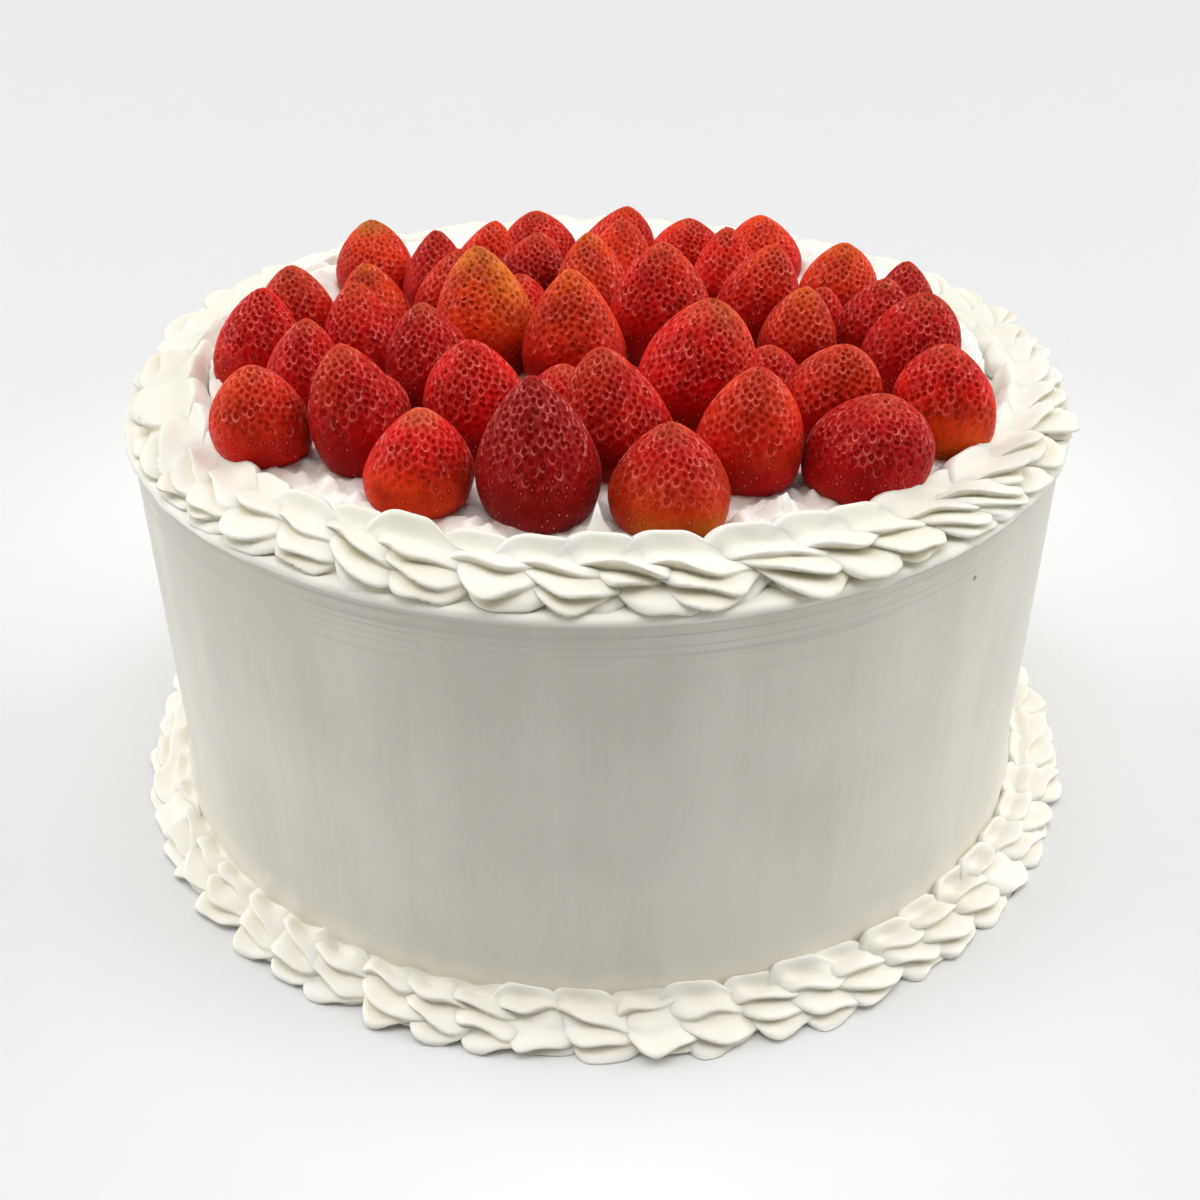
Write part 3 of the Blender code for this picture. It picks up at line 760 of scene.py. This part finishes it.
class Skin:
    """A berry's skin while it is put together. Its points are the seeds, the corners, then the rims."""

    def __init__(self, points, levels, total):
        self.points = points
        self.levels = levels
        self.first_corner = total
        self.faces = []
        self.cells = []
        self.facts = []

    def add_cell(self, seed, outline, places, rim, chance):
        """Adds a seed's cell: its pit's floor, and the slope up to the corners in its outline.

        places says where they are, up the skin and round it in mm.
        """
        first_rim = len(self.points)
        self.points += rim
        self.levels += [self.levels[seed]] * len(rim)
        first_corner = self.first_corner
        middle, inner, edge = (0.0, chance), (PIT_SHARE, chance), (1.0, chance)
        for i in range(len(outline)):
            j = (i + 1) % len(outline)
            rim_i, rim_j = tuple(places[i] * PIT_SHARE), tuple(places[j] * PIT_SHARE)
            self.faces.append((seed, first_rim + i, first_rim + j))
            self.cells += [(0.0, 0.0), rim_i, rim_j]
            self.faces.append(
                (first_rim + i, first_corner + outline[i], first_corner + outline[j], first_rim + j))
            self.cells += [rim_i, tuple(places[i]), tuple(places[j]), rim_j]
            self.facts += [middle, inner, inner, inner, edge, edge, inner]

    def add_cut_face(self, loop):
        """Adds the flat face that the berry stands on."""
        self.faces.append(tuple(int(self.first_corner + i) for i in loop))
        self.cells += [(2.0, 2.0)] * len(loop)
        self.facts += [(1.0, 0.0)] * len(loop)


def berry_skin(berry, dice):
    """A strawberry's skin, divided into a cell for each seed with a pit in its middle."""
    seeds, triangles, (corner_level, corner_angle) = divide_skin(berry, dice)
    total = len(seeds[0])
    centres = berry.place(*seeds)
    up, around, out = berry.directions(*seeds)
    depth = PIT_DEPTH * (0.15 + 0.85 * smooth(*PIT_LEVELS, seeds[0] + dice.uniform(-0.10, 0.10, total)))
    corners = berry.place(corner_level, corner_angle)
    corner_out = berry.directions(corner_level, corner_angle)[2]
    raised = corners + corner_out * (RIDGE_HEIGHT * smooth(*RIDGE_LEVELS, corner_level))[:, None]
    skin = Skin([*(centres - out * depth[:, None]), *raised], [*seeds[0], *corner_level], total)
    for seed, touching in enumerate(corners_by_seed(triangles, total)):
        offset = corners[touching] - centres[seed]
        places = np.stack([offset @ up[seed], offset @ around[seed]], 1)
        sequence = np.argsort(np.arctan2(places[:, 0], places[:, 1]))
        outline = [touching[i] for i in sequence]
        inner = [centres[seed] + (corners[corner] - centres[seed]) * PIT_SHARE for corner in outline]
        rim = [point - out[seed] * 0.7 * depth[seed] for point in inner]
        skin.add_cell(seed, outline, places[sequence] / MM, rim, dice.uniform())
    at_foot = (triangles >= total).any(axis=1) & (triangles < total).any(axis=1)
    skin.add_cut_face(sorted(np.nonzero(at_foot)[0], key=lambda i: -corner_angle[i]))
    return skin


def build_berry(berry, material, dice):
    """One strawberry, with what its material needs to know of each point and cell."""
    skin = berry_skin(berry, dice)
    name = f"{berry.number:02d}"
    node = "strawberry_" + name
    mesh = add_piece("berry_" + name, skin.points, skin.faces, node, material).data
    mesh.uv_layers.new(name="cell").data.foreach_set("uv", np.array(skin.cells).ravel())
    mesh.uv_layers.new(name="facts").data.foreach_set("uv", np.array(skin.facts).ravel())
    colour = np.ones((len(skin.points), 4))
    colour[:, :3] = berry.skin(np.array(skin.levels), np.array(skin.points))
    colour[:, 3] = skin.levels
    mesh.color_attributes.new("skin", "FLOAT_COLOR", "POINT").data.foreach_set("color", colour.ravel())


def measure_berries(dice):
    """Every strawberry of the heap, measured."""
    names = sorted(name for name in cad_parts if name.startswith("strawberry"))
    return [Berry(number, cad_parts[name], dice) for number, name in enumerate(names, start=1)]


def build_berries(berries, dice):
    """Every strawberry of the heap."""
    material = berry_material()
    for berry in berries:
        build_berry(berry, material, dice)


def closed_curve(rows, at):
    """Points on a smooth closed curve through rows of numbers, at given places counted in rows."""
    rows = np.asarray(rows, float)
    total = len(rows)
    whole = np.floor(at).astype(int)
    part = (at - whole)[:, None]
    before, start, end, after = (rows[(whole + k) % total] for k in (-1, 0, 1, 2))
    return 0.5 * (
        2 * start + (end - before) * part
        + (2 * before - 5 * start + 4 * end - after) * part**2
        + (3 * start - before - 3 * end + after) * part**3
    )


def fold_height(past_edge, width):
    """A fold's height: it rises slowly to its edge, and past it drops quickly into a groove."""
    rise = smooth(-width, 0.0, past_edge)
    fall = 1 - (1 + GROOVE) * smooth(0.0, 0.45, past_edge) + GROOVE * smooth(0.45, 1.7, past_edge)
    return rise * fall


def roll_folds(form, side, dice):
    """A shell's folds, of a kind chosen by chance. side is 1 at the cake's right and -1 at its left."""
    chances = np.cumsum([kind[0] for kind in form["kinds"]])
    kind = form["kinds"][int(np.searchsorted(chances, dice.uniform(0, chances[-1])))]
    folds = []
    for edge, slip, rise, tall, peak in kind[1]:
        folds.append({
            "edge": edge + dice.uniform(-0.25, 0.25),
            "slip": slip * dice.uniform(0.8, 1.2),
            "rise": rise * dice.uniform(0.7, 1.4),
            "tall": tall * dice.uniform(0.65, 1.25),
            "peak": peak + dice.uniform(-0.15, 0.15) + 0.25 * max(side, 0.0),
            "sway": dice.uniform(0.08, 0.34),
            "phase": dice.uniform(0, math.tau),
        })
    return folds


def shell_section(form, dice):
    """A shell's section: places along its outline, its points there, and the ways down and out of it."""
    total, shown = len(form["outline"]), form["shown"]
    at = np.concatenate([
        np.linspace(0.0, shown, SHELL_ROUND - HIDDEN_POINTS, endpoint=False),
        np.linspace(shown, total, HIDDEN_POINTS, endpoint=False),
    ])
    turn = math.radians(dice.uniform(-7, 7))
    turned = np.array([[math.cos(turn), -math.sin(turn)], [math.sin(turn), math.cos(turn)]])
    body = (closed_curve(form["outline"], at) - form["middle"]) @ turned.T
    down = closed_curve(form["outline"], at + 0.05) - closed_curve(form["outline"], at - 0.05)
    down = (down / np.linalg.norm(down, axis=1, keepdims=True)) @ turned.T
    out = np.stack([-down[:, 1], down[:, 0]], 1)
    return at, body, down, out


def folded_section(form, folds, section, along):
    """The section with its folds at a place along the shell, and the painted shade at each point: under the
    folds and on the hidden underside.
    """
    at, body, down, out = section
    place = body.copy()
    crease_shade = np.where(at < form["shown"], 0.0, 0.5)
    for fold in folds:
        now = fold["edge"] + fold["slip"] * along
        now -= fold["rise"] * ((along - fold["peak"]) / 0.6) ** 2
        now += fold["sway"] * math.sin(fold["phase"] + 6.0 * along)
        lift = fold["tall"] * (0.40 + 0.75 * math.exp(-((along - fold["peak"]) / 0.5) ** 2))
        risen = lift * fold_height(at - now, form["fold_width"])
        place += risen[:, None] * (out + form["overhang"] * down)
        # Painted shade in the groove just past each fold's edge
        under = smooth(0.0, 0.30, at - now) * smooth(1.5, 0.5, at - now)
        crease_shade = np.maximum(crease_shade, form["tint"] * under * min(1.0, lift / 2.2))
    return place, crease_shade


def shell_size(form, size, along):
    """How large the section is at a place along the shell: it has a rounded head and a thin tail."""
    head = min(1.0, along / form["cap"])
    size *= math.sqrt(max(4e-4, 1 - (1 - head) ** 2))
    size *= (1 - 0.10 * along) * (1 - 0.55 * float(smooth(1.0, SHELL_LENGTH, along)))
    return size


def sink(form, place, angle):
    """Lowers a section to its border's level at an angle, and spreads it outward where it has sunk."""
    degrees = (math.degrees(angle) + 180) % 360 - 180
    level = float(np.interp(degrees, *form["level"]))
    place[:, 1] *= np.where(place[:, 1] > 0, level, 1.0)
    spread = max(0.0, 1 - level) * RIM_SPREAD * max(0.0, math.sin(math.radians(degrees)) + 0.2)
    place[:, 0] += np.where(place[:, 0] > form["middle"][0], spread, 0.0)


def shell_points(form, shell, dice):
    """Rings of points along a piped shell, from its head to its tail, and the painted shade at each point.
    """
    unit = math.tau / form["shells"]
    shown = form["shown"]
    section = shell_section(form, dice)
    at, out = section[0], section[3]
    size = 1 + dice.uniform(-0.06, 0.06)
    pitch = dice.uniform(-0.14, 0.14)
    draw = form["draw"] * dice.uniform(0.7, 1.25)
    drawn = draw * np.interp(at, (0, 2, shown - 1, shown, len(form["outline"])), (0, 0, 1, 1, 0))
    folds = roll_folds(form, math.cos(unit * shell), dice)
    scoop_row, scoop_width, scoop_depth = form["scoop"]
    scoop_depth *= dice.uniform(0.6, 1.3)
    scoop = np.exp(-((at - scoop_row) / scoop_width) ** 2)
    rings, crease_shades = [], []
    for step in np.linspace(0.0, 1.0, form["rings"]) ** 1.3:
        along = step * SHELL_LENGTH
        place, crease_shade = folded_section(form, folds, section, along)
        scooped = scoop * math.exp(-((along - 0.62) / 0.34) ** 2)
        place -= (scoop_depth * scooped)[:, None] * out
        place = form["middle"] + place * shell_size(form, size, along)
        sink(form, place, unit * (shell + along))
        angle = unit * (shell + pitch + along + drawn * (1 - 0.2 * step))
        radius = WALL_RADIUS + place[:, 0] * MM
        x = radius * np.cos(angle) + form["shift"][0] * MM
        y = radius * np.sin(angle) + form["shift"][1] * MM
        z = form["seat"] + np.maximum(place[:, 1], form["lowest"]) * MM
        rings.append(np.stack([x, y, z], 1))
        # Painted shade in the scoop too
        crease_shades.append(np.maximum(crease_shade, 0.22 * scoop))
    return rings, crease_shades


def build_shells(name, node, material, form, dice):
    """A ring of overlapping piped shells."""
    points, crease_shades, faces = [], [], []
    for shell in range(form["shells"]):
        first = len(points) * SHELL_ROUND
        rings, marks = shell_points(form, shell, dice)
        points += rings
        crease_shades += marks
        faces += grid_faces(form["rings"], SHELL_ROUND, first)
    piece = add_piece(name, np.concatenate(points), faces, node, material)
    # Keeps each point's painted shade for the material
    paint(piece, "crease_shade", np.concatenate(crease_shades))


def paint(piece, name, numbers):
    """Keeps a number at each point of a piece, for its material."""
    colour = np.ones((len(numbers), 4))
    colour[:, :3] = numbers[:, None]
    layer = piece.data.color_attributes.new(name, "FLOAT_COLOR", "POINT")
    layer.data.foreach_set("color", colour.ravel())


def piped_material(name, tones):
    """Piped cream with painted shade, darker and yellower where it is creased."""
    material = cream_material(name, tones, 0.10)
    tree = material.node_tree
    crease_shade = add_node(tree, "ShaderNodeVertexColor", layer_name="crease_shade").outputs["Color"]
    tint_cream(material, times(tree, crease_shade, CREASE_SHADE_STRENGTH), CREASE_SHADE_TINT)
    return material


def build_borders():
    """The piped shells on the rim and round the foot."""
    rim = piped_material("rim_cream", RIM_CREAM)
    # The foot's cream is lighter than the rim's, as painted light
    foot = piped_material("foot_cream", FOOT_CREAM_PAINTED_LIGHT)
    dice = np.random.default_rng(SEED)
    build_shells("rim_shells", "top_border", rim, RIM, dice)
    build_shells("foot_shells", "base_border", foot, FOOT, dice)


def crossing_waves(x, y, dice):
    """A rough field from 0 to 1, made of many sharp waves that cross."""
    rough = np.zeros(len(x))
    for _ in range(ROUGH_WAVES):
        way, pace, phase = dice.uniform(0, math.tau), dice.uniform(180, 900), dice.uniform(0, math.tau)
        rough += np.abs(np.sin(pace * (x * math.cos(way) + y * math.sin(way)) + phase)) / ROUGH_WAVES
    return rough


def bed_height(x, y, share, front, near):
    """The bed's height at points: a bank and rough cream at its edge and at the berries, and peaks."""
    rough = crossing_waves(x, y, np.random.default_rng(SEED))
    height = CREAM_LEVEL + BANK_HEIGHT * smooth(0.84, 1.0, share) * (0.5 + rough) * front
    height += EDGE_ROUGH * np.clip(0.70 - rough, 0, 1) * smooth(0.55, 0.95, share)
    height += FOOT_ROUGH * smooth(0.45, 0.72, rough) * smooth(3.2 * MM, 0.8 * MM, near)
    for peak_x, peak_y, tall, wide in CREAM_PEAKS:
        away = np.hypot(x / MM - peak_x, y / MM - peak_y) / wide
        height += tall * MM * np.exp(-2.2 * away) * smooth(2.5, 0.8, away)
    return height


def build_top_cream(berries):
    """The rough cream between the berries and the rim, pushed up round their feet and in small peaks."""
    angles = np.linspace(0, math.tau, BED_AROUND, endpoint=False)
    shares = np.concatenate([[1.0], np.linspace(1.0, BED_HOLE, BED_RINGS)])
    share = np.repeat(shares, BED_AROUND)
    turned = np.tile(angles, len(shares))
    radius = np.repeat(CREAM_RADIUS * shares, BED_AROUND)
    x, y = radius * np.cos(turned), radius * np.sin(turned)
    near = np.min([
        np.hypot(x - berry.foot[0], y - berry.foot[1]) - berry.half_width * BERRY_CUT_FACE
        for berry in berries
    ], axis=0)
    height = bed_height(x, y, share, smooth(-0.6, 0.1, np.sin(turned)), near)
    height[:BED_AROUND] = CREAM_SEAT
    points = np.stack([x, y, height], 1)
    faces = grid_faces(len(shares), BED_AROUND)
    piece = add_piece("cream_bed", points, faces, "top_cream", bed_material())
    # Juice near each berry's foot, and painted shade and red reflected light between the inner berries
    inner = smooth(*SOAKED_AND_SHADED_RADII, np.hypot(x, y))
    paint(piece, "juice_and_shade", smooth(6 * MM, 0.5 * MM, near) + SOAKED_AND_SHADED_STAIN * inner)


def add_backdrop():
    """A plain pale room far away. Only the camera sees it, so it neither lights nor shades the cake."""
    shape = bmesh.new()
    bmesh.ops.create_uvsphere(shape, u_segments=64, v_segments=32, radius=BACKDROP_RADIUS)
    mesh = bpy.data.meshes.new("backdrop")
    shape.to_mesh(mesh)
    shape.free()
    material, tree, shader = new_material("backdrop")
    place = place_on(tree)
    colour = mixed(tree, noise(tree, place, 0.05), *BACKDROP_GREYS)
    tree.links.new(colour, shader.inputs["Emission Color"])
    black = (0.0, 0.0, 0.0, 1.0)
    set_inputs(shader, {"Emission Strength": 1.0, "Base Color": black, "Specular IOR Level": 0.0})
    mesh.materials.append(material)
    backdrop = bpy.data.objects.new("backdrop", mesh)
    backdrop.visible_diffuse = False
    backdrop.visible_glossy = False
    backdrop.visible_transmission = False
    backdrop.visible_shadow = False
    bpy.context.scene.collection.objects.link(backdrop)


def add_floor():
    """A pale floor, wide enough to fill the view, with painted light round the cake and painted shade far
    from it.
    """
    mesh = bpy.data.meshes.new("floor")
    sides = ((-1, -1), (1, -1), (1, 1), (-1, 1))
    mesh.from_pydata([(x * FLOOR_REACH, y * FLOOR_REACH, 0) for x, y in sides], [], [(0, 1, 2, 3)])
    material, tree, shader = new_material("floor")
    place = place_on(tree)
    near = mixed(tree, noise(tree, place, 3.0), *FLOOR_NEAR_PAINTED_LIGHT)
    away = distance(tree, place, FLOOR_MIDDLE)
    # Painted light near the cake and painted shade far from it
    colour = mixed(tree, ramp(tree, away, *FLOOR_TURN), near, FLOOR_FAR_PAINTED_SHADE)
    tree.links.new(colour, shader.inputs["Base Color"])
    set_inputs(shader, {"Roughness": 0.6, "Specular IOR Level": 0.2})
    mesh.materials.append(material)
    floor = bpy.data.objects.new("floor", mesh)
    floor.location.z = -FLOOR_GAP
    bpy.context.scene.collection.objects.link(floor)


def add_sun(name, direction, strength, spread):
    """A wide soft light from far away that shines along a direction."""
    light = bpy.data.lights.new(name, "SUN")
    light.energy = strength
    light.angle = math.radians(spread)
    lamp = bpy.data.objects.new(name, light)
    lamp.rotation_euler = Vector(direction).to_track_quat("-Z", "Y").to_euler()
    bpy.context.scene.collection.objects.link(lamp)


def add_light():
    """Soft studio light: one from above, and one from each side and a little behind."""
    world = bpy.data.worlds.new("room")
    bpy.context.scene.world = world
    world.use_nodes = True
    white = (1.0, 1.0, 1.0, 1.0)
    set_inputs(world.node_tree.nodes["Background"], {"Color": white, "Strength": ROOM_LIGHT})
    for name, direction, strength, spread in LIGHTS:
        add_sun(name, direction, strength, spread)
    bpy.context.scene.view_settings.view_transform = "Standard"


def add_camera():
    """The camera, where the photograph was taken from."""
    lens = bpy.data.cameras.new("camera")
    lens.sensor_width = SENSOR_MM
    lens.lens = SENSOR_MM * FOCAL_PIXELS / PHOTO_WIDTH
    camera = bpy.data.objects.new("camera", lens)
    camera.location = CAMERA_PLACE
    camera.rotation_euler = (math.radians(CAMERA_TILT), 0.0, 0.0)
    camera.rotation_euler.rotate_axis("Z", math.radians(CAMERA_ROLL))
    bpy.context.scene.collection.objects.link(camera)
    bpy.context.scene.camera = camera


dice = np.random.default_rng(SEED)
berries = measure_berries(dice)
build_wall()
build_top_cream(berries)
build_borders()
build_berries(berries, dice)
add_floor()
add_backdrop()
add_light()
add_camera()
